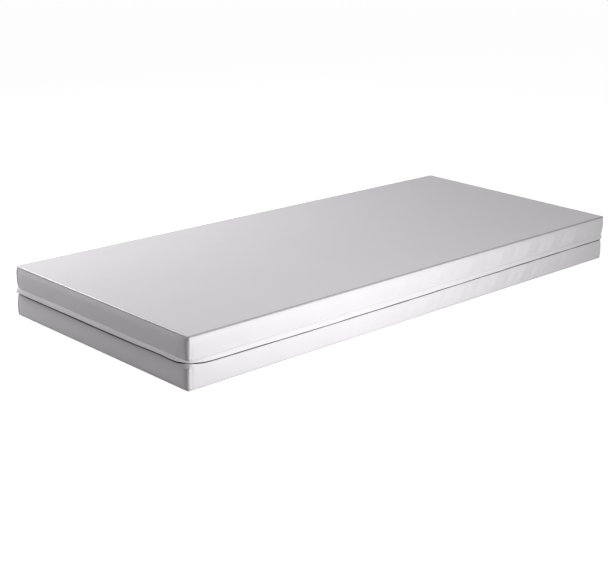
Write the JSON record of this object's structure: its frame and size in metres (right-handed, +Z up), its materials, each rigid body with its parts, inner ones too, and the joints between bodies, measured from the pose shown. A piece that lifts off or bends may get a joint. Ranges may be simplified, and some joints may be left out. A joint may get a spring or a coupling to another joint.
{
  "type": "pressure relief mattress",
  "caption": "Foam mattress for a hospital bed in a pale wipe-clean cover, with a zip under a flap all round its border and a slotted foam core inside.",
  "frame": {"origin": "middle of the underside", "axes": "+X to the head end, +Y to the back long side, +Z up"},
  "size_m": [2, 0.85, 0.16],
  "materials": {
    "cover_fabric": "pale grey polyurethane-coated knit, satin",
    "base_fabric": "pale grey coated knit, heavier and matt",
    "flap_fabric": "the cover's coated knit, folded, satin",
    "zip_tape": "woven polyester tape, matt",
    "zip_coil": "polyester coil, satin",
    "slider_metal": "nickel-plated die casting, satin",
    "pull_metal": "nickel-plated die casting, satin",
    "base_foam": "firm open-cell foam, blue-grey, matt",
    "bolster_foam": "firm open-cell foam, off-white, matt",
    "comfort_foam": "soft open-cell foam, pale yellow, matt"
  },
  "bodies": {
    "base_cover": {"base_panel": "base_fabric", "lower_border_front": "cover_fabric", "lower_border_back": "cover_fabric", "lower_border_foot": "cover_fabric", "lower_border_head": "cover_fabric", "lower_zip_tape": "zip_tape", "lower_zip_coil": "zip_coil"},
    "foam_core": {"foam_base": "base_foam", "side_bolster_front": "bolster_foam", "side_bolster_back": "bolster_foam", "end_bolster_foot": "bolster_foam", "end_bolster_head": "bolster_foam", "comfort_heel": "comfort_foam", "comfort_torso": "comfort_foam", "comfort_head": "comfort_foam"},
    "top_cover": {"top_panel": "cover_fabric", "upper_border_front": "cover_fabric", "upper_border_back": "cover_fabric", "upper_border_foot": "cover_fabric", "upper_border_head": "cover_fabric", "zip_flap": "flap_fabric", "upper_zip_tape": "zip_tape", "upper_zip_coil": "zip_coil"},
    "slider_left": {"zip_slider_left": "slider_metal"},
    "pull_left": {"zip_pull_left": "pull_metal"},
    "slider_right": {"zip_slider_right": "slider_metal"},
    "pull_right": {"zip_pull_right": "pull_metal"}
  },
  "joints": [
    {"name": "core_lift", "type": "slide", "parent": "base_cover", "child": "foam_core", "axis": [0, 0, 1], "range_m": [0, 0.2]},
    {"name": "cover_lift", "type": "slide", "parent": "foam_core", "child": "top_cover", "axis": [0, 0, 1], "range_m": [0, 0.25]},
    {"name": "slider_left_run", "type": "slide", "parent": "base_cover", "child": "slider_left", "axis": [0, 1, 0], "range_m": [0, 0.36]},
    {"name": "slider_right_run", "type": "slide", "parent": "base_cover", "child": "slider_right", "axis": [0, -1, 0], "range_m": [0, 0.36]},
    {"name": "pull_left_swing", "type": "hinge", "parent": "slider_left", "child": "pull_left", "pos_m": [0.99435, 0.0082, 0.08], "axis": [0, 0, -1], "range_deg": [0, 140]},
    {"name": "pull_right_swing", "type": "hinge", "parent": "slider_right", "child": "pull_right", "pos_m": [0.99435, -0.0082, 0.08], "axis": [0, 0, 1], "range_deg": [0, 140]}
  ]
}
